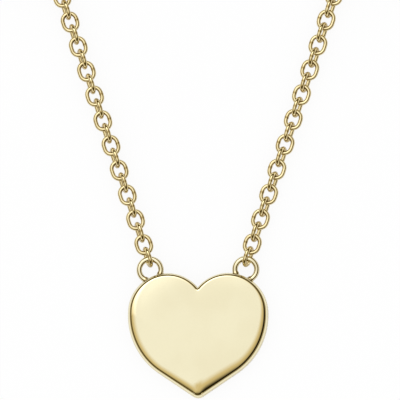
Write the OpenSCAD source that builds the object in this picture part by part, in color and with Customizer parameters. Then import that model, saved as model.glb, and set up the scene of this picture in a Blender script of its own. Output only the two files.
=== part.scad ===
// Heart pendant necklace, lying open on a table with its face up.
// The origin is the middle of the heart's back, +Y runs towards the neck and +Z up from the table.
// Everything on one side is drawn at positive X, and the left side is its mirror image.

/* [Heart] */
// Width across the two sides
heart_w = 11; // [10:0.1:13]
// Depth of the tip below the middle of the back
tip_y = 4.89; // [4.4:0.01:6]
// Height of the widest place above the middle of the back
side_y = 1.6; // [1.2:0.05:2]
// Radius of the two round lobes at the top
lobe_r = 3.1; // [2.9:0.05:3.6]
// Angle above the widest place at which a side runs into its lobe
lobe_turn = 4.5; // [2:0.5:8]
// Radius of the tip
tip_r = 0.7; // [0.6:0.05:1]
// Thickness in the middle
heart_t = 1.4; // [1.2:0.05:2]
// Width of the rounded front edge
edge_w = 0.45; // [0.2:0.05:0.5]
// Height of the rounded front edge
edge_h = 0.5; // [0.2:0.05:0.6]
// Share of the front edge's width that is left in the notch
notch_edge = 0.5; // [0.3:0.1:1]
// Radius of the small rounding round the back
back_r = 0.1; // [0.05:0.01:0.2]
// Height of the face's low crown
crown_h = 0.12; // [0:0.02:0.3]

/* [Soldered rings] */
// Radius of a ring to the middle of its wire
ring_r = 0.855; // [0.8:0.005:1]
// Wire of a ring
ring_wire = 0.43; // [0.35:0.01:0.44]
// Angle round the lobe at which a ring is soldered on
ring_at = 68; // [60:1:76]
// Distance from the heart's edge out to a ring's middle
ring_out = 0.55; // [0.4:0.01:0.65]

/* [Chain] */
// Length of a link over all
link_l = 1.712; // [1.6:0.002:1.9]
// Width of a link over all
link_w = 1.43; // [1.3:0.01:1.5]
// Wire of a link
link_wire = 0.33; // [0.25:0.01:0.35]
// Play between two links along the chain
link_gap = 0.022; // [0.01:0.002:0.06]
// Lean of each half of the chain from straight up
strand_lean = 18.3; // [15:0.1:20]
// Turn of every other link from lying flat
link_roll = 74; // [60:1:90]
// Place of the first link's wire inside its ring, sideways from the ring's middle
hang_x = -0.04; // [-0.1:0.01:0.1]
// Place of the first link's wire inside its ring, above the ring's middle
hang_y = 0.35; // [0.3:0.01:0.42]
// Height of the chain's middle above the table
chain_z = 0.7; // [0.7:0.01:0.8]

/* [Wound up rest of the chain] */
// Angle from +X at which the chain runs into its coil
coil_entry = 12; // [8:1:16]
// Radius of a coil at the middle of its turns
coil_r = 7.4; // [7.2:0.05:7.6]
// Distance between the two turns that lie beside each other
coil_step = 1.55; // [1.5:0.01:1.6]
// Height of the upper layer of turns above the lower one
coil_lift = 1.42; // [1.4:0.01:1.5]

/* [Clasp] */
// Radius of the clasp's ring to the middle of its tube
clasp_r = 2.25; // [2:0.05:2.5]
// Outer diameter of the clasp's tube
tube_d = 1.3; // [1.2:0.05:1.3]
// Bore of the clasp's tube
tube_bore = 0.8; // [0.7:0.05:0.9]
// Half the angle of the clasp's opening
mouth_half = 20; // [16:1:22]
// Wire of the sliding bolt
bolt_d = 0.7; // [0.5:0.05:0.7]
// Angle that the bolt slides to open
bolt_travel = 42; // [40:1:46]
// Diameter of the thumb knob's stem
knob_d = 0.5; // [0.4:0.05:0.6]
// Height of the thumb knob above the tube
knob_h = 0.55; // [0.4:0.05:0.7]
// Wire of the spring
spring_wire = 0.12; // [0.1:0.01:0.14]
// Turns of the spring
spring_turns = 9; // [6:1:10]
// Radius of the clasp's eye to the middle of its wire
eye_r = 0.5; // [0.45:0.01:0.5]
// Wire of the clasp's eye
eye_wire = 0.35; // [0.3:0.01:0.36]
// Radius of the jump ring to the middle of its wire
jump_r = 1; // [0.95:0.01:1.05]
// Wire of the jump ring
jump_wire = 0.4; // [0.3:0.01:0.45]
// Radius of the catch ring to the middle of its wire
catch_r = 1.7; // [1.5:0.05:2]
// Wire of the catch ring
catch_wire = 0.55; // [0.4:0.05:0.6]
// Play between the clasp's loose pieces
loose = 0.03; // [0.02:0.01:0.06]
// Distance that the last link stands out of a coil's inmost turn
end_out = 0.25; // [0.2:0.05:0.35]

/* [Hidden] */
$fn = 48;
LINKS = 22; // jointed links on each side
LEAD = 4; // links that curve from each side into its coil
gold = [0.93, 0.84, 0.6];
deep_gold = [0.84, 0.69, 0.38];

function link_name(side, k) = str(side, "_link_", k < 10 ? "0" : "", k);
function along(a) = [cos(a), sin(a)];
function flip(p) = [-p.x, p.y];

// Heart outline. Each half is a lobe arc, a side arc inside which the lobe touches, a straight
// flank and a round tip. The flank is the common tangent of the side and tip circles.
side_r = heart_w / 2;
side_c = [0, side_y];
lobe_c = side_c + (side_r - lobe_r) * along(lobe_turn);
tip_c = [0, tip_r - tip_y];
flank_turn = -90 + acos((side_r - tip_r) / (side_c.y - tip_c.y));
LOBE_STEPS = 14;
SIDE_STEPS = 12;
TIP_STEPS = 5;
HALF = LOBE_STEPS + SIDE_STEPS + TIP_STEPS + 2; // points from the notch to the tip
RING = 2 * HALF - 2; // points all round

// Share of an inset that a place on the lobe gets: all of it on the outer side, less in the notch.
function inset_share(t) = 1 - (1 - notch_edge) * pow(1 - t, 2);
function notch_turn(e) = 180 - acos(lobe_c.x / (lobe_r - e * notch_edge));
function half_outline(e) = concat(
    [for (i = [0:LOBE_STEPS])
        let (t = i / LOBE_STEPS, a = notch_turn(e) * (1 - t) + lobe_turn * t)
        lobe_c + (lobe_r - e * inset_share(t)) * along(a)],
    [for (i = [1:SIDE_STEPS])
        let (t = i / SIDE_STEPS, a = lobe_turn * (1 - t) + flank_turn * t)
        side_c + (side_r - e) * along(a)],
    [for (i = [0:TIP_STEPS])
        let (t = i / TIP_STEPS, a = flank_turn * (1 - t) - 90 * t)
        tip_c + (tip_r - e) * along(a)]
);
function outline(e) =
    let (half = half_outline(e))
    concat(half, [for (i = [HALF - 2:-1:1]) flip(half[i])]);

// Levels from the back up: [inset, scale towards the middle of the face, height].
EDGE_STEPS = 6;
wall_top = heart_t - crown_h - edge_h;
face_c = [0, 0.4];
levels = concat(
    [for (a = [0, 30, 60, 90]) [back_r * (1 - sin(a)), 1, back_r * (1 - cos(a))]],
    [for (i = [0:EDGE_STEPS])
        let (a = 90 * i / EDGE_STEPS)
        [edge_w * (1 - cos(a)), 1, wall_top + edge_h * sin(a)]],
    [for (k = [0.9, 0.75, 0.55, 0.3]) [edge_w, k, heart_t - crown_h * pow(k, 3)]]
);
function level_points(v) = [
    for (p = outline(v[0])) [face_c.x + (p.x - face_c.x) * v[1], face_c.y + (p.y - face_c.y) * v[1], v[2]]
];

module heart() {
    last = (len(levels) - 1) * RING;
    color(gold) polyhedron(
        points = [for (v = levels) each level_points(v)],
        faces = concat(
            [[for (i = [HALF - 1:-1:0]) i], concat([0], [for (i = [RING - 1:-1:HALF - 1]) i])],
            [for (j = [0:len(levels) - 2], i = [0:RING - 1])
                [j * RING + i, j * RING + (i + 1) % RING, (j + 1) * RING + (i + 1) % RING]],
            [for (j = [0:len(levels) - 2], i = [0:RING - 1])
                [j * RING + i, (j + 1) * RING + (i + 1) % RING, (j + 1) * RING + i]],
            [[for (i = [0:HALF - 1]) last + i], concat([for (i = [HALF - 1:RING - 1]) last + i], [last])]
        )
    );
}

// Rings and links
ring_c = lobe_c + (lobe_r + ring_out) * along(ring_at);
module wire_ring(r, wire) {
    rotate_extrude() translate([r, 0]) circle(d = wire);
}
module soldered_ring() {
    color(deep_gold) difference() {
        translate([ring_c.x, ring_c.y, chain_z]) wire_ring(ring_r, ring_wire);
        translate([lobe_c.x, lobe_c.y, 0]) cylinder(r = lobe_r, h = 2 * heart_t, $fn = 96);
    }
}

bend_r = (link_w - link_wire) / 2;
leg = link_l - link_w;
reach = link_l - link_wire; // from one end's wire to the other's
overlap = link_wire + link_gap; // from a link's end wire back to the next link's first wire
pitch = reach - overlap;
strand_turn = 90 - strand_lean;
strand_start = ring_c + [hang_x, hang_y];

// A link in the XY plane, from its first wire at the origin along +Y.
module link() {
    translate([0, reach / 2, 0]) for (s = [0, 180]) rotate(s) {
        translate([0, leg / 2, 0]) rotate_extrude(angle = 180) translate([bend_r, 0]) circle(d = link_wire);
        translate([bend_r, 0, 0]) rotate([90, 0, 0]) cylinder(d = link_wire, h = leg, center = true);
    }
}
// Odd links stand up and even links lie flat.
module link_at(p, turn, k) {
    translate([p.x, p.y, chain_z]) rotate(turn - 90) rotate([0, k % 2 == 1 ? link_roll : 0, 0]) link();
}
module strand_link(k) {
    color(deep_gold) link_at(strand_start + (k - 1) * pitch * along(strand_turn), strand_turn, k);
}

// The lead turns evenly from the strand's direction to the coil's, about the standing links' end wires.
// A standing link starts behind the last flat link's end, and a flat link behind its own turn.
function lead_turn(i) = strand_turn + (coil_entry - strand_turn) * i / LEAD;
function lead_start(i) =
    i == 0 ? strand_start + (LINKS - 1) * pitch * along(strand_turn)
    : let (end = lead_start(i - 1) + reach * along(lead_turn(i - 1)))
      end - overlap * along(lead_turn((LINKS + i) % 2 == 1 ? i - 1 : i));
module lead_links() {
    color(deep_gold) for (i = [1:LEAD]) link_at(lead_start(i), lead_turn(i), LINKS + i);
}

// Coil of two layers of two turns, whose lower outer turn goes on from the lead's end
coil_out = coil_r + coil_step / 2;
coil_in = coil_r - coil_step / 2;
coil_c = lead_start(LEAD) + reach * along(coil_entry) + coil_out * along(coil_entry + 90);
coil_h = 2 * (bend_r * sin(link_roll) + link_wire / 2);
module coil() {
    color(gold) translate([coil_c.x, coil_c.y, chain_z]) rotate_extrude($fn = 128) {
        for (r = [coil_in, coil_out], h = [0, coil_lift]) translate([r, h]) circle(d = coil_h);
        translate([coil_in, -coil_h / 2]) square([coil_step, coil_lift + coil_h]);
        translate([coil_in - coil_h / 2, 0]) square([coil_step + coil_h, coil_lift]);
    }
}

// What lies in a coil's middle, from the last link out of the coil inwards
module in_coil(x) {
    translate([coil_c.x + x, coil_c.y, chain_z]) children();
}
end_x = coil_in - end_out - reach;
module end_link() {
    color(deep_gold) in_coil(end_x) rotate(-90) rotate([0, link_roll, 0]) link();
}

// Clasp: a jump ring, an eye, and a tube ring that a sprung bolt closes
jump_x = end_x - (jump_r - jump_wire / 2 - link_wire / 2 - loose);
eye_x = jump_x - (jump_r - jump_wire / 2 - eye_wire / 2 - loose) - eye_r;
eye_sink = 0.1; // how far the eye is sunk into the tube for its solder
clasp_x = eye_x - eye_r - eye_wire / 2 + eye_sink - tube_d / 2 - clasp_r;
bore_end = 175;
bolt_tail = 75;
bolt_in = 6; // angle of the bolt's tip inside the tube's far end
stop_gap = 2;
knob_turn = mouth_half + 8;
slot_w = knob_d + 0.1;
slot_end = knob_turn + bolt_travel + 8;
spring_r = tube_bore / 2 - spring_wire / 2 - loose;
spring_seat = 2; // angle from each of the spring's ends to what it presses on
spring_from = bolt_tail + spring_seat;
spring_to = bore_end - spring_seat;

module jump_ring() {
    color(deep_gold) in_coil(jump_x) wire_ring(jump_r, jump_wire);
}
module clasp_eye() {
    color(gold) in_coil(eye_x) rotate([90, 0, 0]) wire_ring(eye_r, eye_wire);
}
// An arc of round section in the clasp, from angle a to angle b, measured from the mouth's middle.
module clasp_arc(a, b, d) {
    rotate(180 + a) rotate_extrude(angle = b - a) translate([clasp_r, 0]) circle(d = d);
}
module clasp_tube() {
    color(gold) in_coil(clasp_x) difference() {
        clasp_arc(mouth_half, 360 - mouth_half, tube_d);
        clasp_arc(mouth_half - 1, bore_end, tube_bore);
        clasp_arc(-mouth_half - bolt_in - stop_gap, -mouth_half + 1, tube_bore);
        rotate(180 + mouth_half - 1) rotate_extrude(angle = slot_end - mouth_half + 1)
            translate([clasp_r, -slot_w / 2]) square([tube_d, slot_w]);
    }
}
module clasp_bolt() {
    color(gold) in_coil(clasp_x) {
        clasp_arc(-mouth_half - bolt_in, bolt_tail, bolt_d);
        rotate(180 + knob_turn) translate([clasp_r, 0, 0]) rotate([0, 90, 0])
            cylinder(d = knob_d, h = tube_d / 2 + knob_h);
        rotate(180 + knob_turn) translate([clasp_r + tube_d / 2 + knob_h, 0, 0]) sphere(d = 1.5 * knob_d);
    }
}
// The spring winds round the bore's middle, and each ring of points is square to that circle.
SPRING_STEPS = 10;
SPRING_SIDES = 5;
module clasp_spring() {
    rings = spring_turns * SPRING_STEPS;
    function spring_point(i, s) =
        let (
            bend = 180 + spring_from + (spring_to - spring_from) * i / rings,
            turn = 360 * i / SPRING_STEPS,
            side = 360 * s / SPRING_SIDES,
            out = spring_r + spring_wire / 2 * cos(side),
            r = clasp_r + out * cos(turn),
            on = spring_wire / 2 * sin(side),
            flat = r * along(bend) + on * along(bend + 90)
        )
        [flat.x, flat.y, out * sin(turn)];
    function n(i, s) = i * SPRING_SIDES + s % SPRING_SIDES;
    color("silver") in_coil(clasp_x) polyhedron(
        points = [for (i = [0:rings], s = [0:SPRING_SIDES - 1]) spring_point(i, s)],
        faces = concat(
            [[for (s = [0:SPRING_SIDES - 1]) s]],
            [for (i = [0:rings - 1], s = [0:SPRING_SIDES - 1]) [n(i, s), n(i + 1, s), n(i + 1, s + 1)]],
            [for (i = [0:rings - 1], s = [0:SPRING_SIDES - 1]) [n(i, s), n(i + 1, s + 1), n(i, s + 1)]],
            [[for (s = [SPRING_SIDES - 1:-1:0]) n(rings, s)]]
        )
    );
}
catch_x = end_x - (catch_r - catch_wire / 2 - link_wire / 2 - loose);
module catch_ring() {
    color(gold) in_coil(catch_x) wire_ring(catch_r, catch_wire);
}
module left() {
    mirror([1, 0, 0]) children();
}

heart();
left() soldered_ring();  // left_ring
soldered_ring();  // right_ring
for (k = [1:LINKS]) {
    left() strand_link(k);
    strand_link(k);
}
left() lead_links();  // left_lead_links
lead_links();  // right_lead_links
left() coil();  // left_coil
coil();  // right_coil
left() end_link();  // left_end_link
end_link();  // right_end_link
left() jump_ring();
left() clasp_tube();
left() clasp_eye();
left() clasp_bolt();
left() clasp_spring();
catch_ring();
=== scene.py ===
"""Heart pendant necklace in polished gold, built around its packed CAD frame.

The heart, its two soldered rings, the jointed links, the wound up rest of the chain and the
clasp are surfaces worked out with numpy. The right side is worked out and the left is its mirror.
"""

import math
from types import SimpleNamespace

import bmesh
import bpy
import numpy as np
from mathutils import Matrix, Vector


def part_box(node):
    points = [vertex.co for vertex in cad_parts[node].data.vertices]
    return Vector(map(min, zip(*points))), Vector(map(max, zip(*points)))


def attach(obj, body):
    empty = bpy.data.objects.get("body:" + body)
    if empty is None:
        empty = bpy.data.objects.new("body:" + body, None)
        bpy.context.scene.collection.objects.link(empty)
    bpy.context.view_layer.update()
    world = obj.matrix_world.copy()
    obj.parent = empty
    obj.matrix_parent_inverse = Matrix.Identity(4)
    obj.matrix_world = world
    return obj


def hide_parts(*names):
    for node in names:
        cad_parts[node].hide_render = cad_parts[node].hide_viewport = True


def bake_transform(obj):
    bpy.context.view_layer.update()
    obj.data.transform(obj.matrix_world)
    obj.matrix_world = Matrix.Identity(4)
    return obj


bl_info = {
    "name": "Heart Pendant Necklace",
    "version": (1, 0, 0),
    "blender": (4, 5, 0),
    "location": "View3D > Sidebar > Necklace",
    "description": "Builds a gold heart pendant on an oval link chain with a bolt ring clasp",
    "category": "Object",
}

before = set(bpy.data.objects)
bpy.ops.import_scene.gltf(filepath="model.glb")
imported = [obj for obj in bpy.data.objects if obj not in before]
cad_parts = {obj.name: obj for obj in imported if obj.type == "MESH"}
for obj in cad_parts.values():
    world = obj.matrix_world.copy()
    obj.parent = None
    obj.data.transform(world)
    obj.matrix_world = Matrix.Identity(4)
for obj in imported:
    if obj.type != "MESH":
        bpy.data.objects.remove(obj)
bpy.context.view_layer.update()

LINKS = 22  # jointed links on each side
LEAD = 4  # links that curve from each side into its coil
WOUND = 146  # links in each coil, a standing one first and a flat one last
LAPS = 3  # full turns of a coil, besides the part of a turn up to the line of the end link
CLIMB, SHIFT, DESCENT = (300, 360), (600, 660), (800, 860)  # degrees turned along a coil
SIDES = ("right", "left")
CROWN_REACH, FALL_REACH = 0.0016, 0.00065  # how far in the heart's crown and shoulder fade
ROWS_REACH = 0.0005  # depth of the close rows of points along the heart's edge
TIP_JOIN, JOIN_TOP = 0.0007, 0.002  # widest join of the two flanks, and the height where it ends
JOIN_FROM, JOIN_OVER = 0.0001, 0.0008  # distance in at which the join starts, and its way to full
CARD_BEARINGS = (-180, -128, -105, -90, -52, 0, 90, 180)
CARD_HEIGHTS = (  # degrees: top of the foot, top of the dark, where it is amber, where it is white
    (20, 16, 10, 12, 21, 22, 12, 20),
    (35, 34, 42, 43, 44, 49, 36, 35),
    (52, 50, 64, 67, 60, 62, 51, 52),
    (62, 61, 74, 77, 71, 68, 61, 62),
)
FOOT_SHARE, FOOT_SOFT = 0.6, 8  # tone of the cards' feet, of the amber, and degrees it fades over
LAMP_BEARING, LAMP_SPREAD = 118, 45  # degrees
CORE_GAIN = 1.6  # light of the lamp's core at a share of one
BLEND_PAST = 0.08  # share of the spring's length by which its two end points are carried on past each end


# ---------------------------------------------------------------- sizes and colours


def length(name, description, default):
    """A size in metres that the sidebar shows in the scene's units."""
    return bpy.props.FloatProperty(
        name=name, description=description, default=default, min=0, precision=5, unit="LENGTH"
    )


def angle(name, description, degrees):
    """An angle that is given in degrees and kept in radians."""
    return bpy.props.FloatProperty(
        name=name, description=description, default=math.radians(degrees), unit="ROTATION"
    )


def colour(name, description, default):
    """A colour in linear light."""
    return bpy.props.FloatVectorProperty(
        name=name, description=description, default=default, min=0, max=1, subtype="COLOR"
    )


def share(name, description, default):
    """A plain number between nought and one."""
    return bpy.props.FloatProperty(name=name, description=description, default=default, min=0, max=1)


HEART_LOW, HEART_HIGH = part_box("heart")


class NecklaceHeart(bpy.types.PropertyGroup):
    """Sizes of the heart and of the rings that are soldered to it."""

    width: length("Width", "Width across the two sides", HEART_HIGH.x - HEART_LOW.x)
    tip_drop: length("Tip drop", "Depth of the tip below the middle of the back", -HEART_LOW.y)
    side_rise: length("Side rise", "Height of the widest place above the middle", 0.0016)
    lobe_radius: length("Lobe radius", "Radius of the two round lobes", 0.0031)
    lobe_turn: angle("Lobe turn", "Angle at which a side runs into its lobe", 4.5)
    tip_radius: length("Tip radius", "Radius of the tip", 0.0007)
    thickness: length("Thickness", "Thickness in the middle", HEART_HIGH.z - HEART_LOW.z)
    crown: length("Crown", "Height of the face's low crown", 0.00012)
    edge: length("Edge", "Width of the rounded front edge", 0.00033)
    edge_height: length("Edge height", "Height of the rounded front edge", 0.0003)
    tip_fall: length("Tip fall", "Depth of the soft shoulder inside the edge at the tip", 0.00044)
    side_fall: length("Side fall", "Depth of the shoulder at the sides", 0.00034)
    notch_fall: length("Notch fall", "Depth of the shoulder in the notch", 0.0)
    back_edge: length("Back edge", "Radius of the small rounding round the back", 0.0001)
    ring_radius: length("Ring radius", "Radius of a soldered ring to its wire's middle", 0.000855)
    ring_wire: length("Ring wire", "Wire of a soldered ring", 0.00043)
    ring_turn: angle("Ring turn", "Angle round the lobe at which a ring is soldered on", 68)
    ring_out: length("Ring out", "Distance from the heart's edge out to a ring's middle", 0.00055)


class NecklaceChain(bpy.types.PropertyGroup):
    """Sizes of the links and of the two coils."""

    link_length: length("Link length", "Length of a link over all", 0.001712)
    link_width: length("Link width", "Width of a link over all", 0.00143)
    wire: length("Wire", "Wire of a link", 0.00033)
    play: length("Play", "Play between two links along the chain", 0.000022)
    lean: angle("Lean", "Lean of each half of the chain from straight up", 18.3)
    roll: angle("Roll", "Turn of every other link from lying flat", 74)
    hang_x: bpy.props.FloatProperty(
        name="Hang sideways",
        description="Place of the first link's wire inside its ring, sideways",
        default=-0.00004,
        unit="LENGTH",
    )
    hang_y: length("Hang up", "Place of the first link's wire above the ring's middle", 0.00035)
    height: length("Height", "Height of the chain's middle above the table", 0.0007)
    entry: angle("Coil entry", "Angle from +X at which the chain runs into its coil", 12)
    coil_radius: length("Coil radius", "Radius of a coil at the middle of its turns", 0.0074)
    coil_step: length("Coil step", "Distance between the two turns beside each other", 0.00155)
    coil_lift: length("Coil lift", "Height of the upper layer of turns above the lower", 0.00142)


class NecklaceClasp(bpy.types.PropertyGroup):
    """Sizes of the bolt ring clasp and the rings beside it."""

    radius: length("Radius", "Radius of the clasp to the middle of its tube", 0.00225)
    tube: length("Tube", "Outer diameter of the tube", 0.0013)
    bore: length("Bore", "Bore of the tube", 0.0008)
    mouth: angle("Mouth", "Half the angle of the opening", 20)
    bolt: length("Bolt", "Wire of the sliding bolt", 0.0007)
    travel: angle("Travel", "Angle that the bolt slides to open", 42)
    knob: length("Knob", "Diameter of the thumb knob's stem", 0.0005)
    knob_height: length("Knob height", "Height of the thumb knob above the tube", 0.00055)
    spring_wire: length("Spring wire", "Wire of the spring", 0.00012)
    spring_turns: bpy.props.IntProperty(
        name="Spring turns", description="Turns of the spring", default=9, min=2
    )
    eye_radius: length("Eye radius", "Radius of the eye to the middle of its wire", 0.0005)
    eye_wire: length("Eye wire", "Wire of the eye", 0.00035)
    jump_radius: length("Jump ring radius", "Radius of the jump ring to its wire's middle", 0.001)
    jump_wire: length("Jump ring wire", "Wire of the jump ring", 0.0004)
    catch_radius: length("Catch ring radius", "Radius of the catch ring", 0.0017)
    catch_wire: length("Catch ring wire", "Wire of the catch ring", 0.00055)
    loose: length("Play", "Play between the loose pieces", 0.00003)
    end_out: length("End link out", "Distance of the last link from the inmost turn", 0.00025)


class NecklaceFinish(bpy.types.PropertyGroup):
    """Colours and polish of the metals."""

    heart: colour("Heart", "Pale yellow gold of the heart", (0.9, 0.835, 0.585))
    # Painted shade: this deeper gold on the heart's upright wall and steep edge stands in for dark
    # reflections; in the faint clouds it is the gold's own random tone.
    heart_shade_and_clouds: colour("Heart, deep", "Deeper tone on its wall and in faint clouds", (0.72, 0.62, 0.37))
    ring: colour("Rings", "Gold of the soldered rings", (0.95, 0.88, 0.62))
    # Painted shade on the rings' steep flanks; at the solder it is the joins' real deeper tone.
    ring_shade_and_solder: colour("Rings, deep", "Deeper tone on the wire's flanks and solder", (0.42, 0.32, 0.13))
    chain: colour("Chain", "Yellow gold of the chain", (0.94, 0.82, 0.49))
    # Painted shade on the links' steep flanks; at the soldered joins it is their real deeper tone.
    chain_shade_and_joins: colour("Chain, deep", "Deeper tone on the wire's flanks and joins", (0.45, 0.32, 0.11))
    clasp: colour("Clasp", "Gold of the clasp and the catch ring", (0.9, 0.79, 0.5))
    # Painted shade on the clasp's steep flanks, and its real random tone in the clouds.
    clasp_shade_and_clouds: colour("Clasp, deep", "Deeper tone on the clasp", (0.78, 0.63, 0.31))
    steel: colour("Steel", "Colour of the spring", (0.6, 0.59, 0.57))
    # Painted shade on the spring's steep flanks, and its real random tone in the clouds.
    steel_shade_and_clouds: colour("Steel, deep", "Darker tone on the spring", (0.42, 0.41, 0.4))


class NecklaceStage(bpy.types.PropertyGroup):
    """The camera, the table and the light round the necklace."""

    view_width: length("View width", "Width that the camera sees at the chain's height", 0.03136)
    centre_x: bpy.props.FloatProperty(
        name="View centre, sideways", description="Middle of the view", default=0.00016, unit="LENGTH"
    )
    centre_y: bpy.props.FloatProperty(
        name="View centre, up", description="Middle of the view", default=0.01065, unit="LENGTH"
    )
    distance: length("Camera distance", "Distance from the camera to the chain", 0.6)
    from_right: angle("From the right", "Angle of the camera to the right of straight above", 4)
    from_below: angle("From below", "Angle of the camera towards the heart's tip", 5)
    floor: colour("Table", "Colour of the table", (0.96, 0.96, 0.96))
    glow: share("Table glow", "Share of plain white in what the table shows", 0.9)
    mirrored: share("Table glow in the gold", "The same share where the gold mirrors it", 0.4)
    tent_radius: length("Tent radius", "Radius of the band of cards round the table", 0.25)
    dark: colour("Dark card", "Darkest card, to the lower right", (0.015, 0.01, 0.003))
    brown: colour("Brown card", "Cards on all the other sides", (0.1, 0.072, 0.024))
    amber: colour("Amber card", "Colour between the cards and the white tent", (0.72, 0.59, 0.33))
    key: share("Key light", "How much brighter than the tent the lamp past the neck is", 0.2)
    core: share("Key light core", "How much brighter still its middle is", 1.0)


GROUPS = {
    "necklace_heart": NecklaceHeart,
    "necklace_chain": NecklaceChain,
    "necklace_clasp": NecklaceClasp,
    "necklace_finish": NecklaceFinish,
    "necklace_stage": NecklaceStage,
}


# ---------------------------------------------------------------- plan of the right side


def along(a):
    """Unit vectors in the table's plane at the angles a, in radians."""
    return np.stack([np.cos(a), np.sin(a)], -1)


def smooth(x):
    """Nought below 0, one above 1 and 3x^2 - 2x^3 between them."""
    t = np.clip(x, 0, 1)
    return t * t * (3 - 2 * t)


def heart_plan(scene):
    """Centres and angles of the heart's arcs, from its sizes."""
    h = scene.necklace_heart
    p = SimpleNamespace(size=h)
    p.side_r = h.width / 2
    p.side_c = np.array([0, h.side_rise])
    p.lobe_c = p.side_c + (p.side_r - h.lobe_radius) * along(h.lobe_turn)
    p.tip_c = np.array([0, h.tip_radius - h.tip_drop])
    p.flank = -math.pi / 2 + math.acos((p.side_r - h.tip_radius) / (p.side_c[1] - p.tip_c[1]))
    p.notch = math.pi - math.acos(p.lobe_c[0] / h.lobe_radius)
    p.middle = np.array([0, 0.0004])
    p.ring_c = p.lobe_c + (h.lobe_radius + h.ring_out) * along(h.ring_turn)
    return p


def chain_plan(scene):
    """Places of the links, from the first one in its ring to the one that holds the clasp.

    A link starts an overlap behind the end of the one before. The lead turns evenly from the
    strand's direction to the coil's, and the coil starts where its last link ends.
    """
    c, heart = scene.necklace_chain, heart_plan(scene)
    p = SimpleNamespace(size=c)
    p.bend = (c.link_width - c.wire) / 2
    p.leg = c.link_length - c.link_width
    p.reach = c.link_length - c.wire
    p.overlap = c.wire + c.play
    p.turn = math.pi / 2 - c.lean
    p.start = heart.ring_c + np.array([c.hang_x, c.hang_y])
    pitch = p.reach - p.overlap
    p.strand = p.start + np.arange(LINKS)[:, None] * pitch * along(p.turn)
    p.lead_turn = p.turn + (c.entry - p.turn) * np.arange(LEAD + 1) / LEAD
    starts = [p.strand[-1]]
    for i in range(1, LEAD + 1):
        end = starts[-1] + p.reach * along(p.lead_turn[i - 1])
        behind = i - 1 if (LINKS + i) % 2 == 1 else i
        starts.append(end - p.overlap * along(p.lead_turn[behind]))
    p.lead = np.array(starts)
    p.coil_out = c.coil_radius + c.coil_step / 2
    p.coil_in = c.coil_radius - c.coil_step / 2
    inward = p.coil_out * along(c.entry + math.pi / 2)
    p.coil_c = p.lead[-1] + p.reach * along(c.entry) + inward
    p.turned = math.pi / 2 - c.entry + 2 * math.pi * LAPS
    p.exit = p.strand[-1] + p.reach * along(p.turn)
    p.end_x = p.coil_in - scene.necklace_clasp.end_out - p.reach
    return p


def clasp_plan(scene):
    """Places along the line from the left coil's middle to its last link, from the clasp's sizes."""
    k, chain = scene.necklace_clasp, chain_plan(scene)
    wire = chain.size.wire
    p = SimpleNamespace(size=k, chain=chain)
    p.jump_x = chain.end_x - (k.jump_radius - k.jump_wire / 2 - wire / 2 - k.loose)
    p.eye_x = p.jump_x - (k.jump_radius - k.jump_wire / 2 - k.eye_wire / 2 - k.loose) - k.eye_radius
    eye_sink = 0.0001
    p.x = p.eye_x - k.eye_radius - k.eye_wire / 2 + eye_sink - k.tube / 2 - k.radius
    p.catch_x = chain.end_x - (k.catch_radius - k.catch_wire / 2 - wire / 2 - k.loose)
    p.knob_turn = k.mouth + math.radians(8)
    p.slot_end = p.knob_turn + k.travel + math.radians(8)
    p.slot_half = k.knob / 2 + 0.00005
    p.bore_end = math.radians(175)
    p.bolt_tail = math.radians(75)
    p.bolt_in = math.radians(6)
    p.stop_gap = math.radians(2)
    p.seat = math.radians(2)
    return p


# ---------------------------------------------------------------- surfaces


def grid(rows, cols, wrap_rows=False, wrap_cols=True, start=0):
    """Quads of a grid whose points run along each row in turn."""
    i = np.arange(rows if wrap_rows else rows - 1)[:, None]
    j = np.arange(cols if wrap_cols else cols - 1)[None, :]
    i2, j2 = (i + 1) % rows, (j + 1) % cols
    corners = np.broadcast_arrays(i * cols + j, i * cols + j2, i2 * cols + j2, i2 * cols + j)
    return (start + np.stack(corners, -1).reshape(-1, 4)).tolist()


def fan(row_start, cols, pole, outward):
    """Triangles from a row of points to a pole, turned so that they face out."""
    j = np.arange(cols)
    a, b = row_start + j, row_start + (j + 1) % cols
    rows = (a, b, np.full(cols, pole)) if outward else (b, a, np.full(cols, pole))
    return np.stack(rows, -1).tolist()


def tube(path, tangent, normal, radius, sides):
    """A round tube: at each place of the path, the radius times a circle in the plane of the
    normal and of the tangent's cross product with it."""
    phi = np.arange(sides) * 2 * math.pi / sides
    across = np.cross(tangent, normal)
    circle = np.cos(phi)[:, None] * normal[:, None] + np.sin(phi)[:, None] * across[:, None]
    radius = np.broadcast_to(radius, len(path))
    return path[:, None] + radius[:, None, None] * circle


def rod(path, tangent, normal, radius, sides):
    """A tube with its two ends closed by poles on the path's own ends."""
    rows = tube(path, tangent, normal, radius, sides)
    n = rows.shape[0] * sides
    faces = grid(rows.shape[0], sides) + fan(0, sides, n, False)
    faces += fan(n - sides, sides, n + 1, True)
    return np.concatenate([rows.reshape(-1, 3), path[:1], path[-1:]]), faces


def arc_frame(angles, radius):
    """Path, tangents and outward normals of an arc about the origin in the table's plane."""
    out = np.concatenate([along(angles), np.zeros((len(angles), 1))], -1)
    forward = np.stack([-out[:, 1], out[:, 0], np.zeros(len(angles))], -1)
    return out * radius, forward, out


def mirrored(points, faces, side):
    """The right side's points and faces, or their mirror image for the left."""
    if side == "right":
        return points, faces
    return points * np.array([-1, 1, 1]), [f[::-1] for f in faces]


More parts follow.
